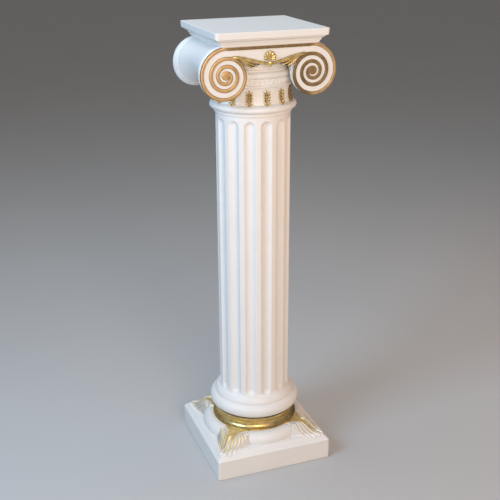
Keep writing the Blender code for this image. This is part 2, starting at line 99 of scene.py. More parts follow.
# Scrolls, their gilded lines and eyes, and the bolsters
SCROLL_Z = 0.9120  # the scrolls wind about a point just under their eyes
SCROLL_RADIUS = 0.0547
SCROLL_PITCH = 0.0206  # what the radius loses in the first turn
SCROLL_EASE = 0.00174  # the turns lie closer towards the eye
SCROLL_TURNS = 3.05
SCROLL_RIM = 0.0040
BAND_SINK = 0.0010  # the gilded lines' middle lies this far behind the faces
BAND_HALF = 0.0037  # half their width on the outer turn
BAND_RELIEF = 0.0022  # how far they stand out from the faces
BAND_SOFTNESS = 0.0011  # a lower number gives them sharper edges
EYE_X = 0.0935
EYE_Z = 0.9142
EYE_RADIUS = 0.0092
EYE_DOME = 0.0026  # height of an eye before its top is flattened
EYE_RELIEF = 0.0024
BOLSTER_WAIST = 0.70  # its size there as a share of its ends
BOLSTER_BEADS = (  # depth behind the face, half width and relief
    (0.0062, 0.0016, -0.0015),
    (0.0115, 0.0038, 0.0021),
    (0.0188, 0.0031, 0.0019),
)

# Garland, palmette and half leaves
GARLAND_LOW_Z = 0.9318
GARLAND_RISE = 0.0170
GARLAND_HALF = 0.088
PALMETTE_Z = 0.9395
PETALS = 7
PETAL_TURN_DEG = 23.0
PETAL_LENGTH = 0.0200
LEAF_RIBS = (  # of a half leaf: start, end, thickness and how far it stands out
    ((0.0700, 0.9494), (0.0160, 0.9334), 0.0020, 0.0014),
    ((0.0665, 0.9466), (0.0268, 0.9292), 0.0020, 0.0014),
    ((0.0615, 0.9432), (0.0376, 0.9264), 0.0020, 0.0014),
    ((0.0690, 0.9510), (0.0200, 0.9350), 0.0020, -0.0010),
    ((0.0680, 0.9480), (0.0220, 0.9318), 0.0024, -0.0010),
    ((0.0640, 0.9450), (0.0325, 0.9284), 0.0024, -0.0010),
)

# Neck with its ears and leaf band
NECK_RADIUS = 0.0795
EAR_FOOT_Z = 0.8438
EAR_HEIGHT = 0.0330
EAR_ROWS = 5
GRAIN_SIZE = (0.0104, 0.0017, 0.0030)  # length, half width and half thickness
GRAIN_LEAN_DEG = 45.0
GRAIN_TILT_DEG = 9.0
LEAF_BAND_RADIUS = 0.0784
LEAF_PAIRS = 26

# Colours, linear
WHITE_PAINT = (0.80, 0.775, 0.745, 1)
WHITE_THIN = (0.735, 0.715, 0.695, 1)
# Brown for shade painted on white
PAINTED_SHADE_BROWN = (0.22, 0.185, 0.13, 1)
YELLOW_GOLD = (0.96, 0.74, 0.35, 1)
YELLOW_GOLD_WORN = (0.66, 0.47, 0.18, 1)
TAN_GOLD = (0.69, 0.455, 0.22, 1)
TAN_GOLD_WORN = (0.55, 0.345, 0.15, 1)
GOLD_SHADE = (0.050, 0.036, 0.014, 1)
FLOOR_GREY = (0.48, 0.475, 0.47, 1)


class Value:
    """A number in a node tree, which can be used in sums as a Python number can."""

    def __init__(self, tree, socket):
        self.tree = tree
        self.socket = socket

    def join(self, operation, *parts):
        node = self.tree.nodes.new("ShaderNodeMath")
        node.operation = operation
        for slot, part in zip(node.inputs, parts):
            if isinstance(part, Value):
                self.tree.links.new(part.socket, slot)
            else:
                slot.default_value = part
        return Value(self.tree, node.outputs[0])

    def __add__(self, other):
        return self.join("ADD", self, other)

    def __radd__(self, other):
        return self.join("ADD", other, self)

    def __sub__(self, other):
        return self.join("SUBTRACT", self, other)

    def __rsub__(self, other):
        return self.join("SUBTRACT", other, self)

    def __mul__(self, other):
        return self.join("MULTIPLY", self, other)

    def __rmul__(self, other):
        return self.join("MULTIPLY", other, self)

    def __truediv__(self, other):
        return self.join("DIVIDE", self, other)

    def __rtruediv__(self, other):
        return self.join("DIVIDE", other, self)

    def root(self):
        return self.join("SQRT", self)

    def cosine(self):
        return self.join("COSINE", self)

    def sine(self):
        return self.join("SINE", self)

    def whole_and_rest(self):
        return self.join("FRACT", self)

    def at_least(self, other):
        return self.join("MAXIMUM", self, other)

    def at_most(self, other):
        return self.join("MINIMUM", self, other)

    def softly_at_least(self, other, blend):
        return self.join("SMOOTH_MAX", self, other, blend)

    def clamped(self):
        return self.at_least(0.0).at_most(1.0)


class Tree:
    """A node tree under construction."""

    def __init__(self, tree):
        self.tree = tree

    def node(self, kind, settings, inputs):
        """Adds a node with these settings and inputs and returns its outputs by name."""
        made = self.tree.nodes.new(kind)
        for name, value in settings.items():
            setattr(made, name, value)
        for name, value in inputs.items():
            slot = next(s for s in made.inputs if s.name == name and s.enabled)
            if isinstance(value, Value):
                self.tree.links.new(value.socket, slot)
            else:
                slot.default_value = value
        return {s.name: Value(self.tree, s) for s in made.outputs if s.enabled}

    def noise(self, place, scale, detail, roughness):
        sizes = {"Vector": place, "Scale": scale, "Detail": detail, "Roughness": roughness}
        return self.node("ShaderNodeTexNoise", {}, sizes)["Fac"]

    def blend(self, share, first, second):
        inputs = {"Factor": share, "A": first, "B": second}
        return self.node("ShaderNodeMix", {"data_type": "RGBA"}, inputs)["Result"]

    def painted(self, name):
        """A number that is painted on the piece's points."""
        return self.node("ShaderNodeAttribute", {"attribute_name": name}, {})["Fac"]


def paint(name, white_part, gold_part, tones, metal, shine):
    """Paint on plaster: white, gold of two tones, or, with both parts, gold brushed over white.

    The piece's points say where shade is painted on, and where the gold lies when there is white too.
    """
    material = bpy.data.materials.new(name)
    material.use_nodes = True
    tree = Tree(material.node_tree)
    shader = material.node_tree.nodes["Principled BSDF"]
    place = tree.node("ShaderNodeTexCoord", {}, {})["Object"]
    cloud = tree.noise(place, 14.0, 3.0, 0.55)
    brush = tree.noise(place, 95.0, 4.0, 0.6)
    grain = tree.noise(place, 420.0, 2.0, 0.5)
    varied = {"Roughness": 0.36 + 0.10 * cloud}
    colour = tree.blend(cloud, WHITE_PAINT, WHITE_THIN)
    if gold_part:
        painted_shade = tree.painted("painted_shade")
        worn = ((brush - 0.36) * 2.4).clamped()
        # Painted shade: gold darkens towards GOLD_SHADE where the piece's points say, and a little at
        # random for tone
        gold_shade_share = (painted_shade * 1.15 + (0.42 - brush) * 0.4).clamped()
        gold = tree.blend(gold_shade_share, tree.blend(worn, tones[1], tones[0]), GOLD_SHADE)
        metallic = metal - 0.25 * gold_shade_share
        rough_gold = shine + 0.20 * brush + 0.20 * painted_shade
        if white_part:
            # Gold where the piece's points say so, with a broken edge
            share = ((tree.painted("gilding") - 0.5 + (brush - 0.5) * 0.6) * 4.0 + 0.5).clamped()
            # Painted shade on white: brown where the piece's points say, broken by the brush noise
            white_shade_share = (painted_shade * (0.55 + 0.6 * brush)).clamped()
            white = tree.blend(white_shade_share * 0.85, colour, PAINTED_SHADE_BROWN)
            colour = tree.blend(share, white, gold)
            varied["Roughness"] = varied["Roughness"] * (1 - share) + rough_gold * share
            varied["Metallic"] = metallic * share
        else:
            colour = gold
            varied["Roughness"] = rough_gold
            varied["Metallic"] = metallic
    varied["Base Color"] = colour
    depth = 0.0003 if gold_part and not white_part else 0.0006
    bump = {"Strength": 0.10, "Distance": depth, "Height": grain * 0.5 + brush * 0.5}
    varied["Normal"] = tree.node("ShaderNodeBump", {}, bump)["Normal"]
    for slot, value in varied.items():
        material.node_tree.links.new(value.socket, shader.inputs[slot])
    shader.inputs["IOR"].default_value = 1.48
    return material


def floor_paint():
    """A pale floor with faint cloudy variation."""
    material = bpy.data.materials.new("pale_floor")
    material.use_nodes = True
    tree = Tree(material.node_tree)
    shader = material.node_tree.nodes["Principled BSDF"]
    place = tree.node("ShaderNodeTexCoord", {}, {})["Object"]
    cloud = tree.noise(place, 2.0, 2.0, 0.5)
    paler = tuple(part * 1.06 for part in FLOOR_GREY[:3]) + (1,)
    colour = tree.blend(cloud, FLOOR_GREY, paler)
    material.node_tree.links.new(colour.socket, shader.inputs["Base Color"])
    shader.inputs["Roughness"].default_value = 0.8
    return material


def even_shading(obj):
    """Shades a piece smooth with each face counting by its area, so that flat bands stay flat."""
    mesh = obj.data
    mesh.shade_smooth()
    count = len(mesh.polygons)
    normals = np.empty(count * 3)
    areas = np.empty(count)
    sizes = np.empty(count, dtype=int)
    corners = np.empty(len(mesh.loops), dtype=int)
    mesh.polygons.foreach_get("normal", normals)
    mesh.polygons.foreach_get("area", areas)
    mesh.polygons.foreach_get("loop_total", sizes)
    mesh.loops.foreach_get("vertex_index", corners)
    pulls = normals.reshape(-1, 3) * areas[:, None]
    total = np.zeros((len(mesh.vertices), 3))
    np.add.at(total, corners, np.repeat(pulls, sizes, axis=0))
    lengths = np.linalg.norm(total, axis=1, keepdims=True)
    total = total / np.maximum(lengths, 1e-12)
    mesh.normals_split_custom_set_from_vertices([tuple(n) for n in total])
    return obj


def placed(name, data):
    """An object in the scene that holds this data."""
    obj = bpy.data.objects.new(name, data)
    bpy.context.scene.collection.objects.link(obj)
    return obj


def finished(obj, material):
    """Gives a piece its material and lets it ride on the frame."""
    obj.data.materials.clear()
    obj.data.materials.append(material)
    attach(obj, "root")
    return obj


def piece_from(name, points, faces):
    """An object from points and faces, with its normals turned outward."""
    mesh = bpy.data.meshes.new(name)
    mesh.from_pydata([tuple(p) for p in points], [], faces)
    bm = bmesh.new()
    bm.from_mesh(mesh)
    bmesh.ops.remove_doubles(bm, verts=bm.verts, dist=1e-6)
    bmesh.ops.recalc_face_normals(bm, faces=bm.faces)
    bm.to_mesh(mesh)
    bm.free()
    return placed(name, mesh)


def lofted(name, rings):
    """A closed piece through rings of equal length, with flat ends."""
    count = len(rings[0])
    points = [point for ring in rings for point in ring]
    faces = [tuple(range(count)), tuple(range(len(points) - count, len(points)))]
    for i in range(len(rings) - 1):
        for j in range(count):
            k = (j + 1) % count
            faces.append((i * count + j, i * count + k, (i + 1) * count + k, (i + 1) * count + j))
    return piece_from(name, points, faces)


def turned(name, profile, steps=168):
    """A closed piece turned about the Z axis from a profile of (radius, height)."""
    rings = []
    for radius, height in profile:
        turns = [2 * math.pi * k / steps for k in range(steps)]
        rings.append([(radius * math.cos(t), radius * math.sin(t), height) for t in turns])
    return even_shading(lofted(name, rings))


def softened(corners, steps=6):
    """A line through (a, b, rounding) corners, each rounded by about that much."""
    points = []
    for i, (a, b, rounding) in enumerate(corners):
        here = Vector((a, b))
        if rounding == 0 or i in (0, len(corners) - 1):
            points.append((a, b))
            continue
        back = Vector(corners[i - 1][:2]) - here
        onward = Vector(corners[i + 1][:2]) - here
        reach = rounding / math.tan(back.angle(onward) / 2)
        reach = min(reach, back.length * 0.48, onward.length * 0.48)
        start = here + back.normalized() * reach
        end = here + onward.normalized() * reach
        for k in range(steps + 1):
            t = k / steps
            spot = start * (1 - t) ** 2 + here * (2 * t * (1 - t)) + end * t ** 2
            points.append((spot.x, spot.y))
    return points


def arc(centre_r, centre_z, radius, start_deg, end_deg, steps, tall=1.0):
    """Corners without rounding along an arc of a turned profile; tall is its height against its width."""
    angles = [math.radians(start_deg + (end_deg - start_deg) * i / steps) for i in range(steps + 1)]
    return [(centre_r + radius * math.cos(a), centre_z + tall * radius * math.sin(a), 0) for a in angles]


def square_ring(half, radius, height, steps=8):
    """A square with rounded corners at a height."""
    radius = min(radius, half)
    ring = []
    for turn, (sx, sy) in enumerate(((1, 1), (-1, 1), (-1, -1), (1, -1))):
        for k in range(steps + 1):
            angle = math.radians(90 * turn + 90 * k / steps)
            x = sx * (half - radius) + radius * math.cos(angle)
            y = sy * (half - radius) + radius * math.sin(angle)
            ring.append((x, y, height))
    return ring


def square_stack(name, profile, corner_radius):
    """A closed piece of rounded squares from a profile of (half width, height)."""
    widest = max(half for half, _ in profile)
    rings = []
    for half, height in profile:
        radius = max(0.0006, corner_radius - (widest - half) * 0.35)
        rings.append(square_ring(half, radius, height))
    return even_shading(lofted(name, rings))


def plinth():
    """The square foot."""
    corners = [
        (0.05, 0.0, 0),
        (PLINTH_HALF, 0.0, 0.002),
        (PLINTH_HALF, PLINTH_EDGE_Z, 0.0035),
        (PLINTH_HALF - PLINTH_SLOPE_WIDTH, PLINTH_TOP_Z, 0.008),
        (0.05, PLINTH_TOP_Z, 0),
    ]
    return square_stack("plinth", softened(corners), PLINTH_CORNER_RADIUS)


def build_tree(name, numbers):
    """A Geometry Nodes tree with a geometry, a material and named inputs, returned with its sockets."""
    group = bpy.data.node_groups.new(name, "GeometryNodeTree")
    face = group.interface
    face.new_socket("Geometry", in_out="OUTPUT", socket_type="NodeSocketGeometry")
    face.new_socket("Geometry", in_out="INPUT", socket_type="NodeSocketGeometry")
    for label, kind in numbers.items():
        face.new_socket(label, in_out="INPUT", socket_type="NodeSocket" + kind)
    face.new_socket("Material", in_out="INPUT", socket_type="NodeSocketMaterial")
    tree = Tree(group)
    given = tree.node("NodeGroupInput", {}, {})
    return tree, given


def close_tree(tree, shape, material):
    """Ends a tree: copies become real, the shading is smooth and the material is set."""
    real = tree.node("GeometryNodeRealizeInstances", {}, {"Geometry": shape})["Geometry"]
    smooth = tree.node("GeometryNodeSetShadeSmooth", {}, {"Geometry": real})["Geometry"]
    set_up = {"Geometry": smooth, "Material": material}
    painted = tree.node("GeometryNodeSetMaterial", {}, set_up)["Geometry"]
    tree.node("NodeGroupOutput", {}, {"Geometry": painted})
    return tree.tree


def moulding_tree():
    """A round moulding along each line of the piece, as thick as the line's points say."""
    tree, given = build_tree("moulding_along_a_line", {"Section steps": "Int"})
    line = tree.node("GeometryNodeMeshToCurve", {}, {"Mesh": given["Geometry"]})["Curve"]
    ring = {"Resolution": given["Section steps"], "Radius": 1.0}
    section = tree.node("GeometryNodeCurvePrimitiveCircle", {}, ring)["Curve"]
    settings = {"data_type": "FLOAT"}
    thickness = tree.node("GeometryNodeInputNamedAttribute", settings, {"Name": "thickness"})
    sweep = {
        "Curve": line,
        "Profile Curve": section,
        "Scale": thickness["Attribute"],
        "Fill Caps": True,
    }
    tube = tree.node("GeometryNodeCurveToMesh", {}, sweep)["Mesh"]
    return close_tree(tree, tube, given["Material"])


def ring_tree():
    """Copies of the piece turned evenly about the Z axis."""
    tree, given = build_tree("ring_of_copies", {"Count": "Int", "First turn": "Float"})
    spots = tree.node("GeometryNodePoints", {}, {"Count": given["Count"]})["Points"]
    number = tree.node("GeometryNodeInputIndex", {}, {})["Index"]
    turn = given["First turn"] + number * (2 * math.pi) / given["Count"]
    turning = tree.node("ShaderNodeCombineXYZ", {}, {"Z": turn})["Vector"]
    copies = {"Points": spots, "Instance": given["Geometry"], "Rotation": turning}
    ring = tree.node("GeometryNodeInstanceOnPoints", {}, copies)["Instances"]
    return close_tree(tree, ring, given["Material"])


def shaft_tree():
    """A turned shaft with round-ended flutes and a flared foot, made from a flat grid."""
    numbers = {name: "Int" if name == "Flutes" else "Float" for name in SHAFT}
    tree, given = build_tree("fluted_shaft", numbers)
    around = given["Flutes"] * COLUMNS_PER_FLUTE + 1
    sizes = {"Size X": 1.0, "Size Y": 1.0, "Vertices X": around, "Vertices Y": SHAFT_ROWS}
    sheet = tree.node("GeometryNodeMeshGrid", {}, sizes)["Mesh"]
    place = tree.node("GeometryNodeInputPosition", {}, {})["Position"]
    parts = tree.node("ShaderNodeSeparateXYZ", {}, {"Vector": place})
    across = parts["X"] + 0.5
    up = parts["Y"] + 0.5
    # Most rows lie near the two ends, where the flutes are round
    low = (up / END_ROWS).clamped() * END_STRETCH
    high = ((up - (1 - END_ROWS)) / END_ROWS).clamped() * END_STRETCH
    long_part = given["Top"] - given["Bottom"] - 2 * END_STRETCH
    middle = ((up - END_ROWS) / (1 - 2 * END_ROWS)).clamped() * long_part
    height = given["Bottom"] + low + middle + high
    drop = ((given["Bottom"] + given["Flare height"] - height) / given["Flare height"]).clamped()
    body = given["Radius"] + given["Flare width"] * (1 - (1.0001 - drop * drop).root())
    cell = ((across * given["Flutes"]).whole_and_rest() - 0.5) / given["Flutes"]
    aside = cell * given["Radius"] * (2 * math.pi)
    half = given["Flute width"] * 0.5
    over = (height - (given["Flute top"] - half)).at_least(0.0)
    under = (given["Flute bottom"] + half - height).at_least(0.0)
    away = aside * aside + over * over + under * under
    depth = given["Flute depth"]
    tool = (half * half + depth * depth) / (depth * 2)
    cut = (tool * tool - away).at_least(0.0).root() - (tool - depth)
    edge_softness = 0.0011
    cut = cut.softly_at_least(0.0, edge_softness)
    # The first and the last row meet in a point, which closes the ends
    spans = float(SHAFT_ROWS - 1)
    open_part = (up * spans).at_most(1.0) * ((1 - up) * spans).at_most(1.0)
    radius = (body - cut) * open_part
    turn = (across - 0.25) * (2 * math.pi) + math.pi / given["Flutes"]
    spot = {"X": radius * turn.cosine(), "Y": radius * turn.sine(), "Z": height}
    bent = tree.node("ShaderNodeCombineXYZ", {}, spot)["Vector"]
    moved = tree.node("GeometryNodeSetPosition", {}, {"Geometry": sheet, "Position": bent})["Geometry"]
    weld = {"Geometry": moved, "Distance": 1e-5}
    closed = tree.node("GeometryNodeMergeByDistance", {}, weld)["Geometry"]
    return close_tree(tree, closed, given["Material"])


def baked(obj, tree, values, material):
    """Runs a tree on an object and keeps the result as a plain mesh."""
    modifier = obj.modifiers.new("build", "NODES")
    modifier.node_group = tree
    values = dict(values, Material=material)
    for socket in tree.interface.items_tree:
        if socket.in_out == "INPUT" and socket.name in values:
            modifier[socket.identifier] = values[socket.name]
    graph = bpy.context.evaluated_depsgraph_get()
    made = bpy.data.meshes.new_from_object(
        obj.evaluated_get(graph), preserve_all_data_layers=True, depsgraph=graph
    )
    obj.modifiers.clear()
    obj.data = made
    made.name = obj.name
    return obj


def mouldings(name, lines, material, section_steps=12):
    """Round mouldings along lines, each a list of (point, thickness)."""
    points = []
    edges = []
    thickness = []
    for line in lines:
        start = len(points)
        for point, size in line:
            points.append(tuple(point))
            thickness.append(size)
        edges += [(i, i + 1) for i in range(start, len(points) - 1)]
    mesh = bpy.data.meshes.new(name)
    mesh.from_pydata(points, edges, [])
    mesh.attributes.new("thickness", "FLOAT", "POINT").data.foreach_set("value", thickness)
    return baked(placed(name, mesh), MOULDING, {"Section steps": section_steps}, material)


def ringed(obj, count, first_turn_deg, material):
    """A ring of copies of a piece about the Z axis."""
    return baked(obj, RING, {"Count": count, "First turn": math.radians(first_turn_deg)}, material)


def joined(name, objects):
    """One piece from several."""
    bm = bmesh.new()
    for obj in objects:
        bm.from_mesh(obj.data)
        bpy.data.objects.remove(obj)
    mesh = bpy.data.meshes.new(name)
    bm.to_mesh(mesh)
    bm.free()
    mesh.shade_smooth()
    return placed(name, mesh)


def mark(obj, name, rule):
    """Paints a number from 0 to 1 on a piece's points, by a rule that takes x, y and z arrays."""
    mesh = obj.data
    spots = np.empty(len(mesh.vertices) * 3)
    mesh.vertices.foreach_get("co", spots)
    x, y, z = spots.reshape(-1, 3).T
    values = np.clip(rule(x, y, z), 0, 1).astype(np.float32)
    layer = mesh.attributes.get(name) or mesh.attributes.new(name, "FLOAT", "POINT")
    layer.data.foreach_set("value", values)


def rise(value, start, end):
    """0 before start, 1 after end and smooth between them."""
    t = np.clip((value - start) / (end - start), 0, 1)
    return t * t * (3 - 2 * t)


def lower_torus(material):
    """Four round-ended pieces of torus between the corners."""
    end = math.radians(TORUS_END_DEG)
    reach = math.pi / 4 - end
    line = []
    steps = 60
    for k in range(steps + 1):
        turn = reach * (2 * k / steps - 1)
        gone = (reach - abs(turn)) * TORUS_RADIUS / TORUS_END_LENGTH
        size = TORUS_TUBE * math.sqrt(max(0.0, 1 - (1 - min(1.0, gone)) ** 2))
        around = turn - math.pi / 2
        spot = (TORUS_RADIUS * math.cos(around), TORUS_RADIUS * math.sin(around), TORUS_Z)
        line.append((spot, max(size, 0.0008)))
    part = mouldings("lower_torus", [line], material, 44)
    return ringed(part, 4, 0, material)


def leaf_fingers():
    """Root, tip, outward share and gold of a spur leaf's fingers, along and across the diagonal."""
    fingers = []
    for side in (-1, 1):
        for k in range(LEAF_FINGERS):
            share = k / (LEAF_FINGERS - 1)
            tip_r = FINGER_REACH - FINGER_REACH_LOSS * share ** 1.1
            tip_turn = side * math.radians(2.3 + (LEAF_TURN_DEG - 2.3) * share)
            root_r = LEAF_WEB_REACH - LEAF_WEB_FALL * share
            root_turn = side * math.radians(5.2 + 9.3 * share)
            root = np.array([root_r * math.cos(root_turn), root_r * math.sin(root_turn)])
            tip = np.array([tip_r * math.cos(tip_turn), tip_r * math.sin(tip_turn)])
            fingers.append((root, tip, share, GILT_FINGERS[k]))
    return fingers


def ribbon_half(along):
    """Half the width of the gilded ribbon that runs down the middle of a spur leaf."""
    return 0.0110 - 0.0088 * rise(along, 0.100, 0.158)


def slope(share, low, drop, middle, softness):
    """Height of an S-shaped slope that ends at low, drop below its start."""
    return low + drop / (1 + np.exp((share - middle) / softness))


def leaf_form(along, across):
    """Height, crest share, run along the finger and share of gold of a spur leaf over its grid."""
    spread = np.abs(np.degrees(np.arctan2(across, along)))
    reach = np.hypot(along, across)
    web_end = LEAF_WEB_REACH - LEAF_WEB_FALL * np.minimum(spread / LEAF_TURN_DEG, 1.2)
    past = np.maximum(reach - web_end, 0) + np.maximum(spread - LEAF_TURN_DEG + 1.5, 0) * 0.0018
    half = ribbon_half(along)
    inside = np.abs(across) / half
    channel = 0.0016 * (1 - np.minimum(inside, 1.4) ** 2 / 2) * rise(reach, 0.103, 0.115)
    height = 0.0852 - 0.0014 * rise(reach, 0.100, 0.117) - channel - 1.5 * past
    crest = np.ones(along.shape)
    run = np.zeros(along.shape)
    gilt = np.zeros(along.shape)
    s = np.clip((along - LEAF_WEB_REACH) / (RIBBON_END - LEAF_WEB_REACH), 0, 1)
    ribbon = slope(s, 0.0602, 0.0222, 0.48, 0.125) + 0.0008 * np.minimum(inside, 1) ** 2
    ribbon -= 1.8 * np.maximum(np.abs(across) - half, 0) + 1.2 * np.maximum(along - RIBBON_END, 0)
    height = np.maximum(height, ribbon)
    for root, tip, share, gold in leaf_fingers():
        line = tip - root
        length = np.hypot(*line)
        unit = line / length
        forward = (along - root[0]) * unit[0] + (across - root[1]) * unit[1]
        aside = -(along - root[0]) * unit[1] + (across - root[1]) * unit[0]
        s = np.clip(forward / length, 0, 1)
        aside = aside - (0.0012 + 0.0030 * share) * np.sign(root[1]) * np.sin(np.pi * s)
        beyond = np.maximum(forward - length, 0) + np.maximum(-forward, 0)
        level = slope(s, 0.0606, 0.0240, 0.5, 0.115)
        width = 0.0024 * (0.85 + 0.75 * np.sin(np.pi * (s * 0.9 + 0.05))) * (1 - 0.5 * s ** 3)
        gap = np.hypot(aside, beyond) / width
        ridge = 0.0034 * np.sin(np.pi * (s * 0.96 + 0.02)) ** 0.8
        here = level + ridge * (1 - np.minimum(gap, 1) ** 1.6) - 1.6 * width * np.maximum(gap - 1, 0)
        better = here > height
        height = np.where(better, here, height)
        crest = np.where(better, 1 - np.minimum(gap, 1), crest)
        run = np.where(better, s, run)
        gilt = np.where(better, gold, gilt)
    return height, crest, run, gilt


def spur_leaves(material):
    """The four leaves that run from the scotia to the corners of the plinth."""
    start, end, half = 0.088, 0.180, 0.052
    rows = round((end - start) / LEAF_STEP)
    columns = round(2 * half / LEAF_STEP)
    a = np.linspace(start, end, rows + 1)
    b = np.linspace(-half, half, columns + 1)
    along, across = np.meshgrid(a, b, indexing="ij")
    height, crest, run, gilt = leaf_form(along, across)
    finger_crest = np.where(run > 0, crest, 0)
    buried = PLINTH_TOP_Z - 0.0035
    height = np.maximum(height, buried)
    turn = math.radians(-45)
    x = along * math.cos(turn) - across * math.sin(turn)
    y = along * math.sin(turn) + across * math.cos(turn)
    points = np.stack([x, y, height], axis=-1).reshape(-1, 3)
    width = columns + 1
    faces = []
    flat_height = height.reshape(-1)
    for i in range(rows):
        for j in range(columns):
            k = i * width + j
            quad = (k, k + width, k + width + 1, k + 1)
            if max(flat_height[c] for c in quad) > buried:
                faces.append(quad)
    mesh = bpy.data.meshes.new("spur_leaves")
    mesh.from_pydata([tuple(p) for p in points], [], faces)
    reach = np.hypot(along, across)
    half = ribbon_half(along) + 0.018 * (1 - rise(reach, 0.100, 0.118))
    stem = (1 - rise(np.abs(across), half - 0.0012, half + 0.0012)) * (1 - rise(finger_crest, 0.2, 0.6))
    root = 1 - rise(reach, 0.1015, 0.1055)
    streak = rise(crest, 0.20, 0.70) * gilt
    gilding = np.clip(np.maximum(np.maximum(stem, root), streak), 0, 1).reshape(-1)
    # Painted shade lies in the grooves between the fingers, away from their roots, tips and the plinth,
    # and less on the outer fingers
    painted_shade = np.clip(1 - crest * 1.6, 0, 1) * (1 - stem)
    painted_shade = painted_shade * rise(run, 0.05, 0.25) * (1 - 0.7 * rise(run, 0.72, 0.95))
    spread = np.abs(np.degrees(np.arctan2(across, along)))
    painted_shade = painted_shade * rise(height, 0.0608, 0.0640) * (1 - 0.35 * rise(spread, 11, 15.5))
    leaf = placed("spur_leaves", mesh)
    mark(leaf, "gilding", lambda x, y, z: gilding)
    mark(leaf, "painted_shade", lambda x, y, z: painted_shade.reshape(-1))
    bm = bmesh.new()
    bm.from_mesh(mesh)
    bmesh.ops.delete(bm, geom=[v for v in bm.verts if not v.link_faces], context="VERTS")
    # Close the leaf below
    rim = [edge for edge in bm.edges if edge.is_boundary]
    below = bmesh.ops.extrude_edge_only(bm, edges=rim)["geom"]
    for vertex in [part for part in below if isinstance(part, bmesh.types.BMVert)]:
        vertex.co.z = buried - 0.0005
    lower_edges = [part for part in below if isinstance(part, bmesh.types.BMEdge) and part.is_boundary]
    bmesh.ops.triangle_fill(bm, edges=lower_edges, use_beauty=True)
    bmesh.ops.recalc_face_normals(bm, faces=bm.faces)
    bm.to_mesh(mesh)
    bm.free()
    leaves = ringed(leaf, 4, 0, material)
    leaf_shade = np.empty(len(leaves.data.vertices), dtype=np.float32)
    leaves.data.attributes["painted_shade"].data.foreach_get("value", leaf_shade)

    def shaded_by_side(x, y, z):
        """Painted shade lies thicker on the halves that face the two sides."""
        return leaf_shade * (0.45 + 0.70 * rise(np.abs(x) - np.abs(y), -0.006, 0.010))

    mark(leaves, "painted_shade", shaded_by_side)
    return leaves


def gilded_base():
    """The fillet and the concave moulding between the two tori."""
    corners = [
        (0.02, 0.1175, 0),
        (0.0900, 0.1175, 0.001),
        (0.0905, 0.1145, 0.001),
        (0.0950, 0.1140, 0.0028),
        (0.0950, 0.1065, 0.0022),
        (0.0912, 0.1048, 0.0015),
    ]
    corners += arc(0.1010, 0.0975, 0.0124, 145, 262, 20)
    corners += [(0.1002, 0.0660, 0), (0.02, 0.0660, 0)]
    obj = turned("gilded_base", softened(corners))

    def shaded(x, y, z):
        # Painted shade: dark lines under the torus and under the fillet, and the right-hand side darker
        under_torus = rise(z, 0.1122, 0.1138)
        under_fillet = np.exp(-(((z - 0.1053) / 0.0011) ** 2))
        shaded_right_side = 0.60 * rise(x, 0.040, 0.088)
        darkest = np.maximum(np.maximum(under_torus, 0.9 * under_fillet), shaded_right_side)
        return darkest * (np.hypot(x, y) > 0.08)

    mark(obj, "painted_shade", shaded)
    return obj


def upper_torus():
    """The roll under the shaft, with the ring that stands on it."""
    corners = [(0.02, 0.1135, 0), (0.0860, 0.1135, 0)]
    corners += arc(0.0880, 0.1317, 0.0170, -88, 74, 26)
    corners += [
        (0.0934, 0.1484, 0.0004),
        (0.0934, 0.1505, 0.0010),
        (0.0922, 0.1545, 0.0060),
        (0.0885, 0.1612, 0.0050),
        (0.0850, 0.1625, 0.001),
        (0.02, 0.1625, 0),
    ]
    return turned("upper_torus", softened(corners))


def shaft(material):
    """The fluted shaft."""
    return baked(placed("shaft", bpy.data.meshes.new("shaft")), FLUTED, SHAFT, material)


def neck_profile():
    """Fillet, bulge, neck, astragals, leaf band, echinus and throat, from the shaft to the cushion."""
    corners = [
        (0.02, 0.8190, 0),
        (0.0815, 0.8190, 0.0006),
        (0.0822, 0.8208, 0.0006),
        (0.0836, 0.8214, 0.0008),
        (0.0836, 0.8272, 0.0010),
        (0.0828, 0.8280, 0.0006),
    ]
    corners += arc(0.0840, 0.8357, 0.0095, -80, 74, 22, 0.82)
    corners += [
        (0.0818, 0.8452, 0.0030),
        (0.0806, 0.8530, 0.006),
        (0.0797, 0.8640, 0.006),
        (0.0795, 0.8768, 0.0006),
        (0.0812, 0.8772, 0.0008),
        (0.0814, 0.8790, 0.0008),
        (0.0798, 0.8798, 0.0006),
    ]
    corners += arc(0.0795, 0.8828, 0.0027, -80, 80, 10)
    corners += [
        (0.0790, 0.8862, 0.0008),
        (0.0790, 0.8972, 0.0006),
        (0.0802, 0.8980, 0.0006),
    ]
    corners += arc(0.0760, 0.9052, 0.0075, -66, 66, 14)
    corners += [
        (0.0775, 0.9128, 0.0008),
        (0.0775, 0.9164, 0.0006),
        (0.0755, 0.9172, 0.0006),
        (0.0745, 0.9700, 0),
        (0.02, 0.9700, 0),
    ]
    return softened(corners, 4)


def neck_surface(height):
    """Radius of the bulge and the neck at a height."""
    inside = [(z, radius) for radius, z in neck_profile() if 0.8430 < z < 0.8768 and radius > 0.05]
    heights, radii = zip(*inside)
    return float(np.interp(height, heights, radii))


def leaf_band(material):
    """A low band of small leaves in pairs that lean towards each other."""
    parts = []
    for side in (-1, 1):
        leaf = []
        for k in range(11):
            t = k / 10
            aside = side * (0.0072 - 0.0036 * t)
            turn = aside / LEAF_BAND_RADIUS - math.pi / 2
            x = LEAF_BAND_RADIUS * math.cos(turn)
            y = LEAF_BAND_RADIUS * math.sin(turn)
            spot = (x, y, 0.8868 + 0.0096 * t)
            leaf.append((spot, 0.0007 + 0.0014 * math.sin(math.pi * (0.06 + 0.86 * t)) ** 0.7))
        parts.append(leaf)
    part = mouldings("leaf_band", parts, material, 12)
    return ringed(part, LEAF_PAIRS, 0, material)


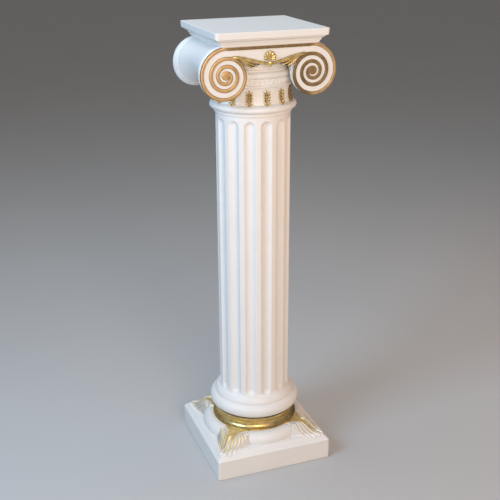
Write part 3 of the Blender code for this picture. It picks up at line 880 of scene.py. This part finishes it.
def grain_of(length, width, thickness, place):
    """One pointed grain, placed by a matrix."""
    bm = bmesh.new()
    rings, spokes = 7, 10
    rows = []
    for i in range(rings + 1):
        t = i / rings
        girth = math.sin(math.pi * min(1.0, t * 0.94 + 0.03)) ** 0.75
        girth *= 1 - 0.35 * t
        row = []
        for k in range(spokes):
            a = 2 * math.pi * k / spokes
            spot = Vector((width * girth * math.cos(a), thickness * girth * math.sin(a), length * t))
            row.append(bm.verts.new(place @ spot))
        rows.append(row)
    for lower, upper in zip(rows, rows[1:]):
        for k in range(spokes):
            n = (k + 1) % spokes
            bm.faces.new((lower[k], lower[n], upper[n], upper[k]))
    bm.faces.new(rows[0])
    bm.faces.new(rows[-1])
    bmesh.ops.recalc_face_normals(bm, faces=bm.faces)
    mesh = bpy.data.meshes.new("grain")
    bm.to_mesh(mesh)
    bm.free()
    return placed("grain", mesh)


def wheat_ears(material):
    """One ear to each flute: two leaning rows of grains on a stem, on a thin ground."""
    parts = []
    length, width, thickness = GRAIN_SIZE
    pitch = EAR_HEIGHT / (EAR_ROWS + 0.9)
    for row in range(EAR_ROWS):
        for side in (-1, 1):
            z = EAR_FOOT_Z + pitch * row
            foot = Matrix.Translation((side * 0.0006, -neck_surface(z) - 0.0012, z))
            follow = math.atan2(neck_surface(z) - neck_surface(z + 0.006), 0.006)
            tilt = Matrix.Rotation(math.radians(GRAIN_TILT_DEG) - follow, 4, "X")
            lean = Matrix.Rotation(math.radians(GRAIN_LEAN_DEG * side), 4, "Y")
            parts.append(grain_of(length, width, thickness, foot @ tilt @ lean))
    top_z = pitch * EAR_ROWS - 0.0010
    top = Matrix.Translation((0, -(NECK_RADIUS + 0.0016), EAR_FOOT_Z + top_z))
    parts.append(grain_of(EAR_HEIGHT - top_z, 0.0021, 0.0022, top))
    stem = []
    for k in range(9):
        z = EAR_FOOT_Z + (EAR_HEIGHT - 0.006) * k / 8
        stem.append(((0, -neck_surface(z) + 0.0002, z), 0.0017))
    ground = []
    for k in range(13):
        t = k / 12
        z = EAR_FOOT_Z + 0.0010 + (EAR_HEIGHT - 0.0030) * t
        size = 0.0105 * max(0.10, 1 - (2 * t - 1) ** 6) ** 0.5
        ground.append(((0, -neck_surface(z) + size - 0.0007, z), size))
    parts.append(mouldings("ear_stem", [stem, ground], material, 32))
    ear = joined("wheat_ears", parts)
    levels = np.linspace(0.84, 0.89, 101)
    surface = [neck_surface(level) for level in levels]

    def ear_shade(x, y, z):
        # Painted shade: darker in the gaps between the grains and on the ground, and the ears on the right
        # darker
        lift = np.hypot(x, y) - np.interp(z, levels, surface)
        shaded_right_side = 0.50 * rise(x, 0.030, 0.065)
        return np.maximum(1.05 - lift / 0.0021, 0) + shaded_right_side

    ring = ringed(ear, SHAFT["Flutes"], 0, material)
    mark(ring, "painted_shade", ear_shade)
    return ring


def scroll_point(turn_deg, extra=0.0):
    """Place of the right-hand scroll's line about its middle after this much turning from the top."""
    turns = turn_deg / 360
    radius = SCROLL_RADIUS - SCROLL_PITCH * turns + SCROLL_EASE * turns ** 2 + extra
    angle = math.radians(turn_deg)
    return radius * math.sin(angle), radius * math.cos(angle)


def garland_z(x):
    """Height of the garland at a distance x from the middle of the front."""
    share = min(1.0, abs(x) / GARLAND_HALF)
    return GARLAND_LOW_Z + GARLAND_RISE * math.sin(math.pi / 2 * share) ** 1.5


def bolster_station(depth):
    """Size and bead relief of a bolster at this depth behind its face."""
    size = 1 - (1 - BOLSTER_WAIST) * float(rise(depth, 0.003, 0.085)) ** 0.62
    bead = 0.0
    for middle, half, relief in BOLSTER_BEADS:
        away = min(1.0, abs(depth - middle) / half)
        bead += relief * math.sqrt(1 - away * away)
    edge = min(1.0, depth / 0.0012)
    return size, bead - 0.0010 * (1 - math.sqrt(1 - (1 - edge) ** 2))


def bolster(side):
    """The two scroll drums and the waisted roll between them, on one side."""
    steps = 110
    depths = list(np.linspace(0, 0.0012, 5)) + list(np.linspace(0.0016, 0.0235, 46))
    depths += list(np.linspace(0.0250, -FACE_Y, 26))
    stations = [(FACE_Y + d, *bolster_station(d)) for d in depths]
    stations += [(-y, size, bead) for y, size, bead in reversed(stations[:-1])]
    hang = SCROLL_Z - ABACUS_BOTTOM
    turns = [350 * k / steps - 9 for k in range(steps + 1)]
    rings = []
    for y, size, bead in stations:
        outline = [scroll_point(turn, SCROLL_RIM + bead) for turn in turns]
        ring = [(side * (EYE_X + x * size), y, ABACUS_BOTTOM + (hang + z) * size) for x, z in outline]
        rings.append(ring)
    return even_shading(lofted("bolster_right" if side > 0 else "bolster_left", rings))


def cushion():
    """The block between the scrolls: its lower edge follows the garland and its faces are dished."""
    steps = 60
    rings = []
    for k in range(steps + 1):
        x = EYE_X * (2 * k / steps - 1)
        face = -CUSHION_Y + (CUSHION_Y - FACE_Y - 0.00005) * float(rise(abs(x), 0.045, 0.080))
        low = garland_z(x)
        top = ABACUS_BOTTOM + 0.002
        edge = 0.0008
        half = [(face - edge, top), (face, top - edge), (face, low + edge)]
        half += [(face - edge * 0.3, low + edge * 0.3), (face - edge, low)]
        ring = [(x, -y, z) for y, z in half] + [(x, y, z) for y, z in reversed(half)]
        rings.append(ring)
    return even_shading(lofted("cushion", rings))


def abacus():
    """The moulded square top."""
    corners = [
        (0.03, 0.9696, 0),
        (0.1028, 0.9696, 0.0005),
        (0.1030, 0.9710, 0.0006),
        (0.1056, 0.9717, 0.0008),
        (0.1060, 0.9752, 0.0008),
        (0.1082, 0.9760, 0.0008),
        (0.1100, 0.9800, 0.004),
        (0.1158, 0.9838, 0.0008),
        (0.1164, 0.9856, 0.0008),
        (0.1210, 0.9862, 0.0022),
        (0.1220, 0.9990, 0.0012),
        (0.1213, 1.0, 0.0012),
        (0.03, 1.0, 0),
    ]
    top = square_stack("abacus_top", softened(corners), ABACUS_CORNER_RADIUS)
    # A lower fillet on the two sides, above the bolsters
    rings = []
    for half, height in ((0.1024, 0.9660), (0.1030, 0.9666), (0.1030, 0.9704), (0.1024, 0.9704)):
        rings.append([(x, y * 0.0955 / half, z) for x, y, z in square_ring(half, 0.001, height)])
    return even_shading(joined("abacus", [top, lofted("abacus_fillet", rings)]))


def flattened(obj, relief, softness):
    """Presses what stands out from the scrolls' faces into a low form with a flat top and round edges."""
    for vertex in obj.data.vertices:
        out = abs(vertex.co.y) + FACE_Y
        if out > 0:
            vertex.co.y = math.copysign(relief * (1 - math.exp(-out / softness)) - FACE_Y, vertex.co.y)
    obj.data.update()


def scroll_bands(material):
    """The gilded line from one scroll, under the abacus and into the other, on the front and the back."""
    right = []
    steps = round(64 * SCROLL_TURNS)
    for k in range(steps + 1):
        turn = 360 * SCROLL_TURNS * k / steps
        inward_turns = float(rise(turn, 180, 320))
        x, z = scroll_point(turn, 0.0004 * (1 - inward_turns))
        swell = BAND_HALF + 0.0004 * float(rise(turn, 300, 420)) - 0.0002 * float(rise(turn, 450, 700))
        swell -= 0.0016 * float(rise(turn, 930, 1098))
        right.append(((EYE_X + x, SCROLL_Z + z), swell))
    straight = 24
    top_z = SCROLL_Z + SCROLL_RADIUS
    band = [((EYE_X * (1 - 2 * k / straight), top_z), 0.0040) for k in range(1, straight)]
    left = [((-x, z), size) for (x, z), size in right]
    line = list(reversed(right)) + band + left
    lines = []
    for face in (1, -1):
        y = (FACE_Y + BAND_SINK) * face
        lines.append([((x * face, y, z), size) for (x, z), size in line])
    obj = mouldings("scroll_bands", lines, material, 28)

    def shaded(x, y, z):
        # Painted shade: dark edges where the bands meet the faces, shade under the abacus, the right-hand
        # scroll of each face darker, and the upper inner turns darker
        edge = 1.0 - (np.abs(y) + FACE_Y) / 0.0020
        under_abacus = 0.62 * rise(z, 0.9575, 0.9615) * (1 - rise(np.abs(x), 0.082, 0.104))
        inward = EYE_X - np.abs(x)
        inner_turns = 1 - rise(np.hypot(inward, z - SCROLL_Z), 0.036, 0.046)
        front_right = rise(x * np.sign(-y), 0.0, 0.02)
        outer_turn = 0.66 * rise(inward, -0.012, 0.014) * (1 - rise(z, 0.950, 0.9615))
        shaded_right_scroll = front_right * np.maximum(0.55 * inner_turns, outer_turn)
        upper_inner = 0.35 * rise(inward, 0.0, 0.03) * rise(z - SCROLL_Z, -0.01, 0.03)
        shades = [edge, under_abacus, shaded_right_scroll, upper_inner]
        return np.maximum.reduce(shades)

    mark(obj, "painted_shade", shaded)
    flattened(obj, BAND_RELIEF, BAND_SOFTNESS)
    return obj


def knobs(name, spots):
    """Round knobs on the front and the back: each is its place, radius and height."""
    parts = []
    for x, z, radius, dome in spots:
        for face in (1, -1):
            bend = np.linspace(0, math.pi / 2, 11)[:-1]
            profile = [(radius * math.cos(a), dome * math.sin(a) ** 0.6) for a in bend]
            rings = []
            for size, out in [(radius, -0.002)] + profile + [(radius * 0.03, dome)]:
                turns = [2 * math.pi * k / 32 for k in range(32)]
                y = face * (FACE_Y - out)
                ring = [(face * x + size * math.cos(t), y, z + size * math.sin(t)) for t in turns]
                rings.append(ring)
            parts.append(lofted(name, rings))
    obj = joined(name, parts)

    def shaded(x, y, z):
        # Painted shade: dark rims where the eyes meet the faces, and the right-hand eye of each face
        # darker
        rim = 0.8 - (np.abs(y) + FACE_Y) / 0.0020
        shaded_right_eye = 0.50 * (x * y < 0)
        return np.maximum(rim, shaded_right_eye)

    mark(obj, "painted_shade", shaded)
    flattened(obj, EYE_RELIEF, BAND_SOFTNESS)
    return obj


def face_ornament(material):
    """Garland, half leaves and palmette on the front and the back."""
    lines = []
    second_turn_z = SCROLL_Z + SCROLL_RADIUS - SCROLL_PITCH + SCROLL_EASE
    for face in (1, -1):
        y = face * (CUSHION_Y - 0.0010)

        def put(x, z, out=0.0):
            return (face * x, y - face * out, z)

        hang = []
        for k in range(61):
            x = EYE_X * (k / 30 - 1)
            near = float(rise(abs(x), 0.070, 0.0900))
            height = garland_z(x) * (1 - near) + second_turn_z * near
            lift = 0.0012 * (1 - near)
            hang.append((put(x, height + lift, 0.0006 - 0.0030 * near), 0.0034 - 0.0010 * near))
        lines.append(hang)
        for side in (-1, 1):
            for start, end, thickness, out in LEAF_RIBS:
                rib = []
                for j in range(15):
                    t = j / 14
                    spot = Vector(start).lerp(Vector(end), t)
                    sag = 0.0016 * math.sin(math.pi * t)
                    size = thickness * math.sin(math.pi * min(1.0, 0.16 + t * 0.80)) ** 0.5
                    rib.append((put(side * spot.x, spot.y - sag, out), size))
                lines.append(rib)
        for k in range(PETALS):
            aside = k - PETALS // 2
            turn = math.radians(90 + PETAL_TURN_DEG * aside)
            length = PETAL_LENGTH - 0.0011 * abs(aside) ** 1.6
            petal = []
            for j in range(11):
                t = j / 10
                reach = 0.0030 + (length - 0.0030) * t
                size = 0.0007 + 0.0024 * math.sin(math.pi * (0.62 * t + 0.02)) ** 1.5
                if t > 0.8:
                    size *= math.sqrt(1 - ((t - 0.8) / 0.21) ** 2)
                spot = (reach * math.cos(turn), PALMETTE_Z + reach * math.sin(turn))
                petal.append((put(spot[0], spot[1], 0.0024 - 0.0012 * t), size))
            lines.append(petal)
        drop = []
        for j in range(13):
            t = j / 12
            size = 0.0006 + 0.0036 * math.sin(math.pi * t ** 0.75) ** 0.8
            drop.append((put(0, PALMETTE_Z + 0.0005 - 0.0140 * t, 0.0030), size))
        lines.append(drop)
    obj = mouldings("face_ornament", lines, material, 14)

    def shaded(x, y, z):
        # Painted shade: darker near the cushion between the ribs and petals, and towards the garland's
        # ends by the scrolls
        between = 1.45 - (np.abs(y) + CUSHION_Y) / 0.0024
        return np.maximum(between, 0.30 * rise(np.abs(x), 0.064, 0.078))

    mark(obj, "painted_shade", shaded)
    return obj


def stand_camera():
    """The photo's camera."""
    azimuth = math.radians(CAMERA_AZIMUTH_DEG)
    place = Vector((math.sin(azimuth), -math.cos(azimuth), 0)) * CAMERA_DISTANCE
    place.z = CAMERA_HEIGHT
    level = Vector((-math.sin(azimuth), math.cos(azimuth), 0))
    level.rotate(Matrix.Rotation(math.radians(CAMERA_YAW_DEG), 3, "Z"))
    pitch = math.radians(CAMERA_PITCH_DEG)
    ahead = level * math.cos(pitch) + Vector((0, 0, math.sin(pitch)))
    right = ahead.cross(Vector((0, 0, 1))).normalized()
    up = right.cross(ahead)
    roll = math.radians(CAMERA_ROLL_DEG)
    side = right * math.cos(roll) + up * math.sin(roll)
    top = up * math.cos(roll) - right * math.sin(roll)
    lens = bpy.data.cameras.new("camera")
    lens.sensor_width = SENSOR_WIDTH_MM
    lens.lens = FOCAL_LENGTH_PX * SENSOR_WIDTH_MM / IMAGE_WIDTH_PX
    camera = placed("camera", lens)
    turn = Matrix((side, top, -ahead)).transposed()
    camera.matrix_world = Matrix.Translation(place) @ turn.to_4x4()
    bpy.context.scene.camera = camera


def stand_lamp(name, place, aim, size, power, colour, mirrored=True):
    """A soft square lamp that looks at a point; glossy paint reflects it if it is mirrored."""
    lamp = bpy.data.lights.new(name, "AREA")
    lamp.size = size
    lamp.energy = power
    lamp.color = colour
    obj = placed(name, lamp)
    obj.visible_glossy = mirrored
    obj.location = place
    obj.rotation_euler = (Vector(aim) - Vector(place)).to_track_quat("-Z", "Y").to_euler()


def studio():
    """Pale floor, soft surroundings and five soft lamps, cool from the left and warm from the right."""
    floor = bpy.data.meshes.new("floor")
    floor.from_pydata([(-20, -20, 0), (20, -20, 0), (20, 20, 0), (-20, 20, 0)], [], [(0, 1, 2, 3)])
    floor.materials.append(floor_paint())
    placed("floor", floor)
    world = bpy.data.worlds.new("studio")
    world.use_nodes = True
    back = world.node_tree.nodes["Background"]
    back.inputs["Color"].default_value = (0.93, 0.89, 0.86, 1)
    back.inputs["Strength"].default_value = 0.24
    bpy.context.scene.world = world
    stand_lamp("front_key", (-0.3, -2.0, 1.35), (0, 0, 1.45), 1.0, 26.5, (1.0, 0.785, 0.60))
    stand_lamp("low_front", (0.1, -1.9, 0.80), (0, 0, 1.15), 0.8, 6, (1.0, 0.82, 0.68), mirrored=False)
    stand_lamp("cool_side", (-1.75, -0.7, 1.65), (0, 0, 0.7), 0.9, 33, (0.45, 0.70, 0.98))
    stand_lamp("warm_side", (2.2, -0.4, 0.8), (0, 0, 0.6), 1.2, 9.5, (1.0, 0.46, 0.22), mirrored=False)
    stand_lamp("top_soft", (-0.3, 0.4, 2.8), (0, 0, 0.6), 1.4, 26, (0.80, 0.91, 1.0))
    bpy.context.scene.view_settings.view_transform = "Standard"


MOULDING = moulding_tree()
RING = ring_tree()
FLUTED = shaft_tree()


def main():
    """Camera, studio, paints and the 16 pieces."""
    stand_camera()
    studio()
    yellow = (YELLOW_GOLD, YELLOW_GOLD_WORN)
    tan = (TAN_GOLD, TAN_GOLD_WORN)
    white = paint("white_paint", True, False, (), 0, 0)
    gold = paint("yellow_gold_paint", False, True, yellow, 1.0, 0.25)
    bright_gold = paint("bright_gold_paint", False, True, yellow, 0.72, 0.16)
    tan_gold = paint("tan_gold_paint", False, True, tan, 0.55, 0.34)
    part_gold = paint("gold_over_white_paint", True, True, yellow, 0.50, 0.28)
    base = finished(plinth(), white)
    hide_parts("column_plant_stand")
    finished(lower_torus(white), white)
    finished(spur_leaves(part_gold), part_gold)
    finished(gilded_base(), gold)
    finished(upper_torus(), white)
    finished(shaft(white), white)
    finished(turned("neck", neck_profile()), white)
    finished(leaf_band(white), white)
    finished(wheat_ears(bright_gold), bright_gold)
    finished(bolster(-1), white)
    finished(bolster(1), white)
    finished(cushion(), white)
    finished(abacus(), white)
    finished(scroll_bands(tan_gold), tan_gold)
    eyes = [(side * EYE_X, EYE_Z, EYE_RADIUS, EYE_DOME) for side in (-1, 1)]
    finished(knobs("scroll_eyes", eyes), tan_gold)
    finished(face_ornament(bright_gold), bright_gold)


main()
